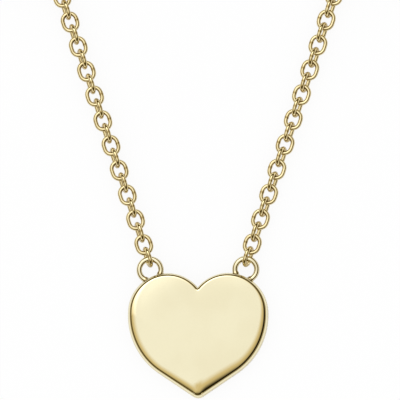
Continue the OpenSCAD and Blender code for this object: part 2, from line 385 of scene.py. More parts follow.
def add_piece(name, points, faces, finish, body, nodes, marks=None, weld=False):
    """A smooth mesh at the origin that stands for CAD nodes. It rides on a body, or on none.
    Its attribute tone is 0.8 smooth((0.62 - |z|) / 0.3) of the normal's height z, a painted
    shade on the steep flanks that stands in for dark reflections along their sides, or the
    piece's own marks, such as soldered joins, where they are more."""
    mesh = bpy.data.meshes.new(name)
    mesh.from_pydata(np.asarray(points).tolist(), [], faces)
    normals = np.empty(3 * len(mesh.vertices), np.float32)
    mesh.vertex_normals.foreach_get("vector", normals)
    # Painted shade: steep flanks get the deeper metal in place of the dark reflections along a wire's sides;
    # the piece's marks are its real soldered joins.
    tone = 0.8 * smooth((0.62 - np.abs(normals[2::3])) / 0.3)
    if marks is not None:
        tone = np.maximum(tone, marks)
    mesh.attributes.new("tone", "FLOAT", "POINT").data.foreach_set(
        "value", tone.astype(np.float32)
    )
    if weld:
        work = bmesh.new()
        work.from_mesh(mesh)
        bmesh.ops.remove_doubles(work, verts=work.verts, dist=1e-8)
        bmesh.ops.recalc_face_normals(work, faces=work.faces)
        work.to_mesh(mesh)
        work.free()
    mesh.shade_smooth()
    mesh.set_sharp_from_angle(angle=math.radians(35))
    mesh.materials.append(finish)
    piece = bpy.data.objects.new(name, mesh)
    bpy.context.scene.collection.objects.link(piece)
    if body:
        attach(piece, body)
    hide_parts(*nodes)
    return piece


# ---------------------------------------------------------------- materials


def set_up_group(name, inputs, outputs):
    """A new shader node group with named sockets, and its input and output nodes."""
    group = bpy.data.node_groups.new(name, "ShaderNodeTree")
    for label, kind, value in inputs:
        socket = group.interface.new_socket(label, in_out="INPUT", socket_type=kind)
        socket.default_value = value
    for label, kind in outputs:
        group.interface.new_socket(label, in_out="OUTPUT", socket_type=kind)
    return group, group.nodes.new("NodeGroupInput"), group.nodes.new("NodeGroupOutput")


def join(tree, node, socket, source):
    """Links an output to a node's input, or sets the input to a plain value."""
    if isinstance(source, bpy.types.NodeSocket):
        tree.links.new(source, node.inputs[socket])
    else:
        node.inputs[socket].default_value = source


def ramp(tree, value, low, high, to_low=0.0, to_high=1.0):
    """A value carried smoothly from one range to another."""
    node = tree.nodes.new("ShaderNodeMapRange")
    node.interpolation_type = "SMOOTHSTEP"
    for socket, source in zip(range(5), (value, low, high, to_low, to_high)):
        join(tree, node, socket, source)
    return node.outputs[0]


def sums(tree, kind, first, second):
    """A Math node of one kind."""
    node = tree.nodes.new("ShaderNodeMath")
    node.operation = kind
    join(tree, node, 0, first)
    join(tree, node, 1, second)
    return node.outputs[0]


def polish_marks():
    """Faint clouds of tone and fine hairlines, as polished gold gets from buffing and wear.

    The clouds mix the two metals. The hairlines are two noises stretched along crossing
    directions and cut to thin streaks, which roughen the polish and are scored into it.
    """
    name = "Polish marks"
    if name in bpy.data.node_groups:
        return bpy.data.node_groups[name]
    group, given, made = set_up_group(
        name,
        [
            ("Metal", "NodeSocketColor", (0.9, 0.8, 0.5, 1)),
            ("Deep Metal", "NodeSocketColor", (0.8, 0.65, 0.3, 1)),
            ("Cloud Scale", "NodeSocketFloat", 300.0),
            ("Hairline Scale", "NodeSocketFloat", 9000.0),
            ("Polish", "NodeSocketFloat", 0.06),
            ("Hairline Roughness", "NodeSocketFloat", 0.08),
            ("Cloud Strength", "NodeSocketFloat", 0.3),
            ("Painted Shade And Joins", "NodeSocketFloat", 0.0),
        ],
        [
            ("Color", "NodeSocketColor"),
            ("Roughness", "NodeSocketFloat"),
            ("Height", "NodeSocketFloat"),
        ],
    )
    place = group.nodes.new("ShaderNodeTexCoord").outputs["Object"]
    clouds = group.nodes.new("ShaderNodeTexNoise")
    join(group, clouds, "Vector", place)
    join(group, clouds, "Scale", given.outputs["Cloud Scale"])
    join(group, clouds, "Detail", 2.0)
    cloud = ramp(group, clouds.outputs["Fac"], 0.38, 0.68)
    cloud = sums(group, "MULTIPLY", cloud, given.outputs["Cloud Strength"])
    streaks = []
    for turn, stretch in ((0.6, 0.05), (-0.9, 0.07)):
        turned = group.nodes.new("ShaderNodeMapping")
        join(group, turned, "Vector", place)
        join(group, turned, "Rotation", (0, 0, turn))
        join(group, turned, "Scale", (1, stretch, 1))
        noise = group.nodes.new("ShaderNodeTexNoise")
        join(group, noise, "Vector", turned.outputs[0])
        join(group, noise, "Scale", given.outputs["Hairline Scale"])
        join(group, noise, "Detail", 2.0)
        streaks.append(ramp(group, noise.outputs["Fac"], 0.6, 0.72))
    hairline = sums(group, "MAXIMUM", *streaks)
    # The deeper metal shows where the clouds, or the painted flank shade and the real joins, are stronger.
    tone = sums(group, "MAXIMUM", cloud, given.outputs["Painted Shade And Joins"])
    mix = group.nodes.new("ShaderNodeMix")
    mix.data_type = "RGBA"
    join(group, mix, 0, tone)
    join(group, mix, 6, given.outputs["Metal"])
    join(group, mix, 7, given.outputs["Deep Metal"])
    worn = sums(group, "MULTIPLY", hairline, given.outputs["Hairline Roughness"])
    dull = sums(group, "MULTIPLY", given.outputs["Painted Shade And Joins"], 0.1)
    rough = sums(group, "ADD", sums(group, "ADD", given.outputs["Polish"], worn), dull)
    join(group, made, "Color", mix.outputs[2])
    join(group, made, "Roughness", rough)
    join(group, made, "Height", sums(group, "SUBTRACT", 1.0, hairline))
    return group


def metal(name, base, deep, polish=0.06, worn=0.06, clouds=300.0, cloudy=0.3, scored=2e-7):
    """A polished metal whose colour, roughness and fine relief come from the polish marks."""
    if name in bpy.data.materials:
        return bpy.data.materials[name]
    material = bpy.data.materials.new(name)
    material.use_nodes = True
    tree = material.node_tree
    shader = tree.nodes["Principled BSDF"]
    shader.inputs["Metallic"].default_value = 1.0
    marks = tree.nodes.new("ShaderNodeGroup")
    marks.node_tree = polish_marks()
    join(tree, marks, "Metal", (*base, 1))
    join(tree, marks, "Deep Metal", (*deep, 1))
    join(tree, marks, "Cloud Scale", clouds)
    join(tree, marks, "Cloud Strength", cloudy)
    join(tree, marks, "Polish", polish)
    join(tree, marks, "Hairline Roughness", worn)
    # The tone attribute mixes in the deeper metal: painted shade on the steep flanks, and the real join
    # marks.
    attribute = tree.nodes.new("ShaderNodeAttribute")
    attribute.attribute_name = "tone"
    join(tree, marks, "Painted Shade And Joins", attribute.outputs["Fac"])
    bump = tree.nodes.new("ShaderNodeBump")
    bump.inputs["Strength"].default_value = 0.5
    bump.inputs["Distance"].default_value = scored
    join(tree, bump, "Height", marks.outputs["Height"])
    join(tree, shader, "Base Color", marks.outputs["Color"])
    join(tree, shader, "Roughness", marks.outputs["Roughness"])
    join(tree, shader, "Normal", bump.outputs[0])
    return material


def heart_gold(scene):
    f = scene.necklace_finish
    return metal("Polished heart gold", f.heart, f.heart_shade_and_clouds, polish=0.05, clouds=260.0, cloudy=0.16)


def ring_gold(scene):
    f = scene.necklace_finish
    return metal("Soldered ring gold", f.ring, f.ring_shade_and_solder, polish=0.03, clouds=900.0)


def chain_gold(scene):
    f = scene.necklace_finish
    return metal("Chain gold", f.chain, f.chain_shade_and_joins, polish=0.03, clouds=1100.0)


def clasp_gold(scene):
    f = scene.necklace_finish
    return metal("Clasp gold", f.clasp, f.clasp_shade_and_clouds, polish=0.07, clouds=700.0, cloudy=0.6)


def spring_steel(scene):
    f = scene.necklace_finish
    return metal("Spring steel", f.steel, f.steel_shade_and_clouds, polish=0.22, clouds=2500.0)


# ---------------------------------------------------------------- heart


def round_about(plan, x, y, tip, side, notch):
    """A size near a point that is given at the tip, the sides and the notch: bells about the
    angle w from straight down, seen from the heart's middle, exp(-(w / 30 deg)^2) for the tip
    and exp(-((180 deg - w) / 60 deg)^2) for the notch."""
    w = np.degrees(np.arctan2(np.abs(x), plan.middle[1] - y))
    at_notch = np.exp(-(((180 - w) / 60) ** 2))
    return side + (tip - side) * np.exp(-((w / 30) ** 2)) + (notch - side) * at_notch


def side_distance(plan, x, y, with_tip):
    """Distance in from the outline's right half: the radius of each arc less the distance to its
    centre where the point faces that arc, the distance to the flank's line where it faces that
    or lies past the tip, and the distance to the notch where it faces none of them."""
    h = plan.size
    p = np.stack([x, y], -1)
    notch_y = plan.lobe_c[1] + h.lobe_radius * math.sin(plan.notch)
    best = np.hypot(x, y - notch_y)
    normal = along(plan.flank)
    forward = np.array([-normal[1], normal[0]])
    on = (p - plan.tip_c) @ forward
    facing = on <= (plan.side_c - plan.tip_c) @ forward
    line = plan.side_r - (p - plan.side_c) @ normal
    best = np.where(facing & (on >= 0 if with_tip else True), np.minimum(best, line), best)
    arcs = [(plan.lobe_c, h.lobe_radius, h.lobe_turn, plan.notch)]
    arcs.append((plan.side_c, plan.side_r, plan.flank, h.lobe_turn))
    if with_tip:
        arcs.append((plan.tip_c, h.tip_radius, -math.pi / 2, plan.flank))
    for centre, radius, low, high in arcs:
        out = p - centre
        turn = np.arctan2(out[..., 1], out[..., 0])
        gap = radius - np.hypot(out[..., 0], out[..., 1])
        best = np.where((turn >= low) & (turn <= high), np.minimum(best, gap), best)
    return best


def edge_distance(plan, x, y):
    """Distance in from the heart's outline. From 0.1 mm in, and fully from 0.9 mm in, the two
    halves' distances a and b are joined as min(a, b) - k/4 max(1 - |a - b| / k, 0)^2, so that the
    edges of the two flanks run into each other without a crease. The join k is 0.7 mm from the
    heart's origin down to the tip and fades to nothing 2 mm above that origin."""
    x = np.abs(x)
    near = side_distance(plan, x, y, True)
    a, b = side_distance(plan, x, y, False), side_distance(plan, -x, y, False)
    k = TIP_JOIN * smooth((JOIN_TOP - y) / JOIN_TOP) + 1e-9
    joined = np.minimum(a, b) - k / 4 * np.clip(1 - np.abs(a - b) / k, 0, None) ** 2
    joins = smooth((near - JOIN_FROM) / JOIN_OVER) * (y < JOIN_TOP)
    return np.maximum(near + joins * (joined - near), 0)


def heart_ring(plan, inset):
    """The heart's outline moved in by an inset, from the notch clockwise all the way round.
    Each half is a lobe arc, a side arc, a straight flank and the tip's arc, and in the notch
    the lobe moves in by half as much, so that the two halves still meet."""
    h = plan.size
    t = np.linspace(0, 1, 111)
    part = 1 - 0.5 * (1 - t) ** 2
    start = math.pi - math.acos(plan.lobe_c[0] / (h.lobe_radius - inset / 2))
    lobe = plan.lobe_c + (h.lobe_radius - inset * part)[:, None] * along(
        start * (1 - t) + h.lobe_turn * t
    )
    s = np.linspace(0, 1, 61)[1:]
    side = plan.side_c + (plan.side_r - inset) * along(h.lobe_turn * (1 - s) + plan.flank * s)
    tip = plan.tip_c + (h.tip_radius - inset) * along(
        np.linspace(plan.flank, -math.pi / 2, 33)
    )
    q = np.linspace(0, 1, 31)[1:-1, None]
    flank = side[-1] * (1 - q) + tip[0] * q
    half = np.concatenate([lobe, side, flank, tip])
    half[0, 0] = half[-1, 0] = 0
    return np.concatenate([half, half[-2:0:-1] * np.array([-1, 1])])


def heart_surface(plan):
    """The heart as rings of points from the back's middle round to the face's middle. The back
    is flat with a small rounding and the wall is upright. On the front the height is
    top - crown exp(-d / 1.6 mm) - fall exp(-d / 0.65 mm) - b + b sqrt(1 - (1 - d / a)^2) at a
    distance d from the outline: a narrow edge, which is an ellipse's quarter a wide and b high,
    and a soft shoulder as deep as the fall."""
    h = plan.size
    rings = []
    outline = heart_ring(plan, 0)
    back = heart_ring(plan, h.back_edge)
    for k in (0.5, 0.97):
        rings.append((plan.middle + (back - plan.middle) * k, 0))
    for a in np.linspace(0, math.pi / 2, 7):
        rings.append(
            (heart_ring(plan, h.back_edge * (1 - math.sin(a))), h.back_edge * (1 - math.cos(a)))
        )

    def top(xy):
        x, y = xy.T
        fall = round_about(plan, x, y, h.tip_fall, h.side_fall, h.notch_fall)
        d = edge_distance(plan, x, y)
        soft = h.crown * np.exp(-d / CROWN_REACH) + fall * np.exp(-d / FALL_REACH)
        inside = np.clip(1 - d / h.edge, 0, None)
        return h.thickness - soft - h.edge_height * (1 - np.sqrt(1 - inside**2))

    wall_top = top(outline)
    rings.append((outline, h.back_edge + (wall_top - h.back_edge) / 2))
    for a in np.linspace(0, math.pi / 2, 31):
        ring = heart_ring(plan, ROWS_REACH * (1 - math.cos(a)))
        rings.append((ring, wall_top if a == 0 else top(ring)))
    inner = heart_ring(plan, ROWS_REACH)
    for k in np.concatenate([np.linspace(0.992, 0.86, 17), np.linspace(0.82, 0.04, 18)]):
        ring = plan.middle + (inner - plan.middle) * k
        rings.append((ring, top(ring)))
    cols = len(outline)
    points = np.concatenate(
        [np.column_stack([xy, np.broadcast_to(z, cols)]) for xy, z in rings]
    )
    n = len(points)
    face_z = top(plan.middle[None])[0]
    poles = np.array([[*plan.middle, 0], [*plan.middle, face_z]])
    faces = [f[::-1] for f in grid(len(rings), cols)]
    faces += fan(0, cols, n, True) + fan(n - cols, cols, n + 1, False)
    return np.concatenate([points, poles]), faces


class NECKLACE_OT_add_heart(bpy.types.Operator):
    """Adds the polished heart with its soft front edge and flat back"""

    bl_idname = "necklace.add_heart"
    bl_label = "Heart"
    bl_options = {"REGISTER", "UNDO"}

    def execute(self, context):
        points, faces = heart_surface(heart_plan(context.scene))
        add_piece(
            "polished_heart", points, faces, heart_gold(context.scene), "root", ["heart"]
        )
        return {"FINISHED"}


class NECKLACE_OT_add_rings(bpy.types.Operator):
    """Adds the two wire rings that are soldered to the heart's lobes"""

    bl_idname = "necklace.add_rings"
    bl_label = "Soldered rings"
    bl_options = {"REGISTER", "UNDO"}

    def execute(self, context):
        plan, chain = heart_plan(context.scene), chain_plan(context.scene)
        h = plan.size
        sunk = 0.0002  # how far the wire's ends reach inside the heart
        gap = h.lobe_radius + h.ring_out

        def meets(radius):
            """Angle from the lobe's direction at which the ring's line is that far from the lobe's centre."""
            return math.acos((gap**2 + h.ring_radius**2 - radius**2) / (2 * gap * h.ring_radius))

        inside, edge = meets(h.lobe_radius - sunk), meets(h.lobe_radius)
        turn = np.linspace(inside, 2 * math.pi - inside, 97)
        path, tangent, normal = arc_frame(h.ring_turn + math.pi + turn, h.ring_radius)
        to_edge = np.minimum(turn, 2 * math.pi - turn) - edge
        solder = np.exp(-((to_edge / math.radians(9)) ** 2))
        path = path + np.array([*plan.ring_c, chain.size.height])
        points, faces = rod(path, tangent, normal, h.ring_wire / 2 * (1 + 0.2 * solder), 24)
        marks = np.concatenate([np.repeat(solder, 24), [1, 1]]) * 0.8
        for side in SIDES:
            placed, turned = mirrored(points, faces, side)
            add_piece(
                f"{side}_soldered_ring",
                placed,
                turned,
                ring_gold(context.scene),
                "root",
                [f"{side}_ring"],
                marks,
            )
        return {"FINISHED"}


# ---------------------------------------------------------------- links


def link_surface(plan, bend_steps, leg_steps, sides):
    """A link in the table's plane, from its first wire at the origin along +Y, and its join's
    mark. The wire's line is two half circles joined by two straight legs, and the wire swells
    by a thirtieth at the soldered join in the middle of one leg."""
    c = plan.size
    a = np.linspace(0, math.pi, bend_steps, endpoint=False)
    q = np.linspace(0, 1, leg_steps, endpoint=False)
    leg = np.stack([np.full(leg_steps, plan.bend), plan.leg * (q - 0.5)], -1)
    bend = plan.bend * along(a) + np.array([0, plan.leg / 2])
    half = np.concatenate([leg, bend])
    out = np.concatenate([np.tile([1.0, 0.0], (leg_steps, 1)), along(a)])
    flat = np.concatenate([half, -half])
    normal = np.concatenate([out, -out])
    zero = np.zeros((len(flat), 1))
    normal = np.concatenate([normal, zero], -1)
    tangent = np.stack([-normal[:, 1], normal[:, 0], zero[:, 0]], -1)
    path = np.concatenate([flat + np.array([0, plan.reach / 2]), zero], -1)
    apart = np.hypot(flat[:, 0] + plan.bend, flat[:, 1])
    mark = np.exp(-((apart / 0.0001) ** 2))
    points = tube(path, tangent, normal, c.wire / 2 * (1 + 0.03 * mark), sides)
    return points.reshape(-1, 3), grid(len(path), sides, wrap_rows=True), np.repeat(mark, sides)


def place_links(points, start, ahead, roll):
    """Copies of a link's points: each is rolled about its own length, turned to its direction
    ahead and moved to its start."""
    x, y, z = points.T
    c, s = np.cos(roll)[:, None], np.sin(roll)[:, None]
    across = np.cross(ahead, [0, 0, 1])
    across /= np.linalg.norm(across, axis=1, keepdims=True)
    up = np.cross(across, ahead)
    parts = ((y, ahead), (x * c + z * s, across), (z * c - x * s, up))
    moved = sum(np.broadcast_to(v, (len(start), len(x)))[..., None] * d[:, None] for v, d in parts)
    return start[:, None] + moved


def level(flat, height):
    """Points or directions in the table's plane, with a height."""
    return np.column_stack([flat, np.full(len(flat), height)])


class NECKLACE_OT_add_links(bpy.types.Operator):
    """Adds the jointed links, each of which rides on its own body"""

    bl_idname = "necklace.add_links"
    bl_label = "Jointed links"
    bl_options = {"REGISTER", "UNDO"}

    def execute(self, context):
        plan = chain_plan(context.scene)
        points, faces, mark = link_surface(plan, 22, 4, 18)
        number = np.arange(1, LINKS + 1)
        roll = np.where(number % 2 == 1, plan.size.roll, 0.0)
        ahead = level(along(np.full(LINKS, plan.turn)), 0)
        placed = place_links(points, level(plan.strand, plan.size.height), ahead, roll)
        for side in SIDES:
            for k in number:
                name = f"{side}_link_{k:02d}"
                at, turned = mirrored(placed[k - 1], faces, side)
                add_piece(
                    f"{name}_wire",
                    at,
                    turned,
                    chain_gold(context.scene),
                    name,
                    [name],
                    mark,
                )
        return {"FINISHED"}


def coil_points(plan, turned):
    """Points of a coil's line at the angles turned since the chain ran into it. It goes round
    below on the outside, climbs and goes on above, moves in, comes down and ends below on the
    inside. In its last 40 degrees it is drawn in a little more, so that the last link ends on
    the line where the end link's wire stands."""
    c = plan.size
    rise, inward, fall = (
        smooth((turned - math.radians(low)) / math.radians(high - low))
        for low, high in (CLIMB, SHIFT, DESCENT)
    )
    drawn_in = 0.00024 * smooth((turned - plan.turned) / math.radians(40) + 1)
    radius = plan.coil_out - c.coil_step * inward - drawn_in
    flat = plan.coil_c + radius[:, None] * along(c.entry - math.pi / 2 + turned)
    return np.column_stack([flat, c.height + c.coil_lift * (rise - fall)])


def wound_links(plan):
    """Starts and directions of the coil's links: both ends of each link lie on the coil's line,
    its length in a link's reach apart, and the starts are evenly spaced along it."""
    past = math.radians(3.2)  # the last link hooks round the end link's wire
    line = coil_points(plan, np.linspace(0, plan.turned + past, 12000))
    back = level(along(np.array([plan.size.entry])) * plan.overlap, 0)
    line = np.concatenate([line[:1] - back, line])
    run = np.concatenate([[0], np.cumsum(np.linalg.norm(np.diff(line, axis=0), axis=1))])
    first = np.linspace(0, run[-1] - plan.reach, WOUND)

    def at(distance):
        return np.stack([np.interp(distance, run, line[:, i]) for i in range(3)], -1)

    ahead = at(first + plan.reach) - at(first)
    return at(first), ahead / np.linalg.norm(ahead, axis=1, keepdims=True)


class NECKLACE_OT_add_wound_chain(bpy.types.Operator):
    """Adds the rest of the chain on each side: the lead, the coil and the link at the clasp"""

    bl_idname = "necklace.add_wound_chain"
    bl_label = "Wound chain"
    bl_options = {"REGISTER", "UNDO"}

    def execute(self, context):
        plan = chain_plan(context.scene)
        points, faces, mark = link_surface(plan, 5, 1, 6)
        start, ahead = wound_links(plan)
        height = plan.size.height
        end_link = plan.coil_c + np.array([plan.end_x, 0])
        starts = [level(plan.lead[1:], height), start, level(end_link[None], height)]
        starts = np.concatenate(starts)
        aheads = np.concatenate([level(along(plan.lead_turn[1:]), 0), ahead, [[1.0, 0, 0]]])
        number = LINKS + 1 + np.arange(len(starts))
        roll = np.where(number % 2 == 1, plan.size.roll, 0.0)
        placed = place_links(points, starts, aheads, roll)
        size = len(points)
        every = np.asarray(faces)[None] + size * np.arange(len(starts))[:, None, None]
        every = every.reshape(-1, 4).tolist()
        for side in SIDES:
            at, turned = mirrored(placed.reshape(-1, 3), every, side)
            piece = add_piece(
                f"{side}_wound_chain",
                at,
                turned,
                chain_gold(context.scene),
                f"{side}_coil",
                [f"{side}_lead_links", f"{side}_coil", f"{side}_end_link"],
                np.tile(mark, len(starts)),
            )
        return {"FINISHED"}


# ---------------------------------------------------------------- clasp


def on_left(plan, points, faces, x):
    """Points about a place on the line out of the left coil's middle, put in the frame."""
    centre = np.array([*plan.chain.coil_c, plan.chain.size.height]) + np.array([x, 0, 0])
    return mirrored(points + centre, faces, "left")


def ring_surface(radius, wire, rows=72, sides=24, gap=0.0):
    """A wire ring about the origin in the table's plane. With a gap it is a cut ring, whose
    two ends are closed."""
    if gap:
        turn = np.linspace(gap / radius / 2, 2 * math.pi - gap / radius / 2, rows)
        return rod(*arc_frame(turn, radius), wire / 2, sides)
    turn = np.linspace(0, 2 * math.pi, rows, endpoint=False)
    points = tube(*arc_frame(turn, radius), wire / 2, sides)
    return points.reshape(-1, 3), grid(rows, sides, wrap_rows=True)


def section(turn, radius, around, bend):
    """Points of a circle of the tube: bend times the unit vector at the turn, moved out by the
    radius times the cosine of the angle around, and up by the radius times its sine. Turns run
    from the mouth's middle."""
    out = along(turn + math.pi)
    flat = (bend + radius * np.cos(around))[..., None] * out[..., None, :]
    return np.concatenate([flat, (radius * np.sin(around))[..., None]], -1)


def case_surface(plan):
    """The clasp's tube: an outer wall and a bore carried round the clasp's circle, joined by a
    lip at each end of the mouth. The wall is open along a slot on its outer side for the knob.
    The slot narrows to a round end, beyond which the wall's two edges meet and are welded."""
    k = plan.size
    outer, bore = k.tube / 2, k.bore / 2
    start, stop = k.mouth, 2 * math.pi - k.mouth
    round_off = plan.slot_half / k.radius * 0.8
    cols = 40

    def half_slot(turn, radius):
        """Angle from the outermost line to the slot's edge: its sine times the radius is the
        slot's half width."""
        left = np.clip((plan.slot_end - turn) / round_off, 0, 1)
        half = plan.slot_half * np.sqrt(1 - (1 - left) ** 2)
        return np.arcsin(np.clip(half / radius, 0, 1))

    def wall(turns, radius):
        open_by = half_slot(turns, radius)[:, None]
        around = open_by + (2 * math.pi - 2 * open_by) * np.linspace(0, 1, cols)
        return section(turns, np.asarray(radius), around, k.radius)

    near = np.linspace(start, plan.slot_end - round_off, 30, endpoint=False)
    end = plan.slot_end - round_off * np.cos(np.linspace(0, math.pi / 2, 9))
    slot_turns = np.concatenate([near, end])
    far_turns = np.linspace(plan.slot_end, stop, 90)[1:]
    bore_turns = np.linspace(plan.slot_end, plan.bore_end, 34)[1:]
    lip, lip_slope = math.radians(1.2) * 0.4, 0.00006  # how far round and in the lip slopes
    points, faces, count = [], [], 0

    def put(rows, wrap=False):
        nonlocal count
        n, m = rows.shape[:2]
        points.append(rows.reshape(-1, 3))
        faces.extend(grid(n, m, wrap_cols=wrap, start=count))
        count += n * m

    all_outer = wall(np.concatenate([slot_turns, far_turns]), outer)
    all_bore = wall(np.concatenate([slot_turns, bore_turns]), bore)
    all_outer[0] = wall(np.array([start + lip]), outer)[0]
    put(all_outer)
    put(all_bore)
    rim = wall(np.array([start]), outer - lip_slope)[0]
    put(np.stack([all_outer[0], rim, all_bore[0]]))
    n_slot = len(slot_turns)
    for edge in (0, -1):
        put(np.stack([all_outer[:n_slot, edge], all_bore[:n_slot, edge]]))
    around = np.linspace(0, 2 * math.pi, cols)[None]

    def round_row(turn, radius):
        return section(np.array([turn]), np.asarray(radius), around, k.radius)[0]

    put(np.stack([all_bore[-1], round_row(plan.bore_end, 1e-9)]))
    blind = 2 * math.pi - k.mouth - plan.bolt_in - plan.stop_gap
    mouth = [round_row(stop, bore), round_row(blind, bore), round_row(blind, 1e-9)]
    put(np.stack([all_outer[-1], *mouth]))
    return np.concatenate(points), faces


def revolve(profile, axis, start, sides):
    """A profile of radii and distances carried round an axis that starts at a point."""
    axis = np.asarray(axis, float)
    side = np.cross(axis, [0, 0, 1])
    across = np.cross(axis, side)
    radius, on = np.asarray(profile, float).T
    phi = np.arange(sides) * 2 * math.pi / sides
    circle = np.cos(phi)[:, None] * side + np.sin(phi)[:, None] * across
    rows = start + on[:, None, None] * axis + radius[:, None, None] * circle
    n = rows.shape[0] * sides
    poles = start + on[[0, -1], None] * axis
    faces = grid(rows.shape[0], sides) + fan(0, sides, n, False) + fan(n - sides, sides, n + 1, True)
    return np.concatenate([rows.reshape(-1, 3), poles]), faces


def finger_surface(plan):
    """The sliding bolt: a curved rod with round ends, and a stem with a ball on it for the thumb."""
    k = plan.size
    tail, tip = plan.bolt_tail, -k.mouth - plan.bolt_in
    half = k.bolt / 2
    cap = half / k.radius * 0.55
    a = np.linspace(0, math.pi / 2, 7)
    rise = np.sin(a)
    head = tip + cap * (1 - np.cos(a))
    body = np.linspace(tip + cap, tail - cap, 60)[1:-1]
    foot = tail - cap * (1 - np.cos(a[::-1]))
    turns = np.concatenate([head, body, foot])
    radius = half * np.concatenate([rise, np.ones(len(body)), rise[::-1]])
    radius = np.maximum(radius, half * 0.02)
    path, tangent, normal = arc_frame(turns + math.pi, k.radius)
    points, faces = rod(path, tangent, normal, radius, 24)
    ball = 0.75 * k.knob
    stem = k.knob / 2
    top = k.tube / 2 + k.knob_height
    b = np.linspace(-math.pi / 2 + 0.75, math.pi / 2, 20)
    ball_profile = np.stack([ball * np.cos(b), top + ball * np.sin(b)], -1)
    ball_profile[-1, 0] = 1e-7
    neck = [[stem, 0], [stem, (top - ball) * 0.85], [stem * 1.02, top - ball * 0.8]]
    profile = np.concatenate([neck, ball_profile])
    out = np.array([*along(plan.knob_turn + math.pi), 0])
    more, knob_faces = revolve(profile, out, k.radius * out, 24)
    shift = len(points)
    faces = faces + [[i + shift for i in f] for f in knob_faces]
    return np.concatenate([points, more]), faces


def spring_surface(plan):
    """The spring: a wire wound round the bore's middle, which itself bends round the clasp."""
    k = plan.size
    mean = k.bore / 2 - k.spring_wire / 2 - k.loose
    steps = k.spring_turns * 18
    q = np.linspace(0, 1, steps + 1)
    low, high = plan.bolt_tail + plan.seat, plan.bore_end - plan.seat
    bend = math.pi + low + (high - low) * q
    turn = 2 * math.pi * k.spring_turns * q
    out = np.concatenate([along(bend), np.zeros((steps + 1, 1))], -1)
    normal = np.cos(turn)[:, None] * out + np.sin(turn)[:, None] * np.array([0, 0, 1])
    path = k.radius * out + mean * normal
    tangent = np.gradient(path, axis=0)
    tangent /= np.linalg.norm(tangent, axis=1)[:, None]
    normal -= (normal * tangent).sum(1)[:, None] * tangent
    normal /= np.linalg.norm(normal, axis=1)[:, None]
    return rod(path, tangent, normal, k.spring_wire / 2, 8)


class NECKLACE_OT_add_clasp(bpy.types.Operator):
    """Adds the bolt ring clasp, its eye, bolt and spring, the jump ring and the catch ring"""

    bl_idname = "necklace.add_clasp"
    bl_label = "Clasp and catch ring"
    bl_options = {"REGISTER", "UNDO"}

    def execute(self, context):
        plan = clasp_plan(context.scene)
        k, gold = plan.size, clasp_gold(context.scene)
        points, faces = on_left(plan, *case_surface(plan), plan.x)
        add_piece("clasp_case", points, faces, gold, "clasp", ["clasp_tube"], weld=True)
        points, faces = on_left(plan, *finger_surface(plan), plan.x)
        add_piece("clasp_finger", points, faces, gold, "clasp_bolt", ["clasp_bolt"])
        points, faces = on_left(plan, *spring_surface(plan), plan.x)
        steel = spring_steel(context.scene)
        spring = add_piece(
            "clasp_coil_spring", points, faces, steel, None, ["clasp_spring"]
        )
        seats = np.array([plan.bore_end - plan.seat, plan.bolt_tail + plan.seat])
        ends = k.radius * along(seats + math.pi)
        past = BLEND_PAST * (ends[1] - ends[0])
        ends, _ = on_left(plan, level(ends + np.array([-past, past]), 0), [], plan.x)
        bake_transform(spring)
        points, faces = ring_surface(k.eye_radius, k.eye_wire, 48, 20)
        upright = points[:, [0, 2, 1]] * np.array([1, -1, 1])
        points, faces = on_left(plan, upright, faces, plan.eye_x)
        add_piece("clasp_eye_ring", points, faces, gold, "clasp", ["clasp_eye"])
        cut = 0.000025
        points, faces = ring_surface(k.jump_radius, k.jump_wire, 73, 24, cut)
        turned = points @ np.array([[0.8, 0.6, 0], [-0.6, 0.8, 0], [0, 0, 1]])
        points, faces = on_left(plan, turned, faces, plan.jump_x)
        chain = chain_gold(context.scene)
        add_piece("split_jump_ring", points, faces, chain, "jump_ring", ["jump_ring"])
        points, faces = ring_surface(k.catch_radius, k.catch_wire, 96, 28)
        centre = np.array([*plan.chain.coil_c, plan.chain.size.height])
        points = points + centre + np.array([plan.catch_x, 0, 0])
        add_piece("catch_ring_wire", points, faces, gold, "catch_ring", ["catch_ring"])
        return {"FINISHED"}


# ---------------------------------------------------------------- stage


class NECKLACE_OT_set_camera(bpy.types.Operator):
    """Sets the camera above the heart and the jointed links"""

    bl_idname = "necklace.set_camera"
    bl_label = "Camera"
    bl_options = {"REGISTER", "UNDO"}

    def execute(self, context):
        scene = context.scene
        s = scene.necklace_stage
        target = Vector((s.centre_x, s.centre_y, scene.necklace_chain.height))
        back = Vector((math.tan(s.from_right), -math.tan(s.from_below), 1)).normalized()
        across = Vector((0, 1, 0)).cross(back).normalized()
        up = back.cross(across)
        data = bpy.data.cameras.new("necklace_camera")
        data.sensor_width = 36
        data.lens = data.sensor_width * s.distance / s.view_width
        data.clip_start, data.clip_end = 0.01, 10
        camera = bpy.data.objects.new("necklace_camera", data)
        turn = Matrix((across, up, back)).transposed()
        camera.matrix_world = Matrix.Translation(target + back * s.distance) @ turn.to_4x4()
        scene.collection.objects.link(camera)
        scene.camera = camera
        return {"FINISHED"}


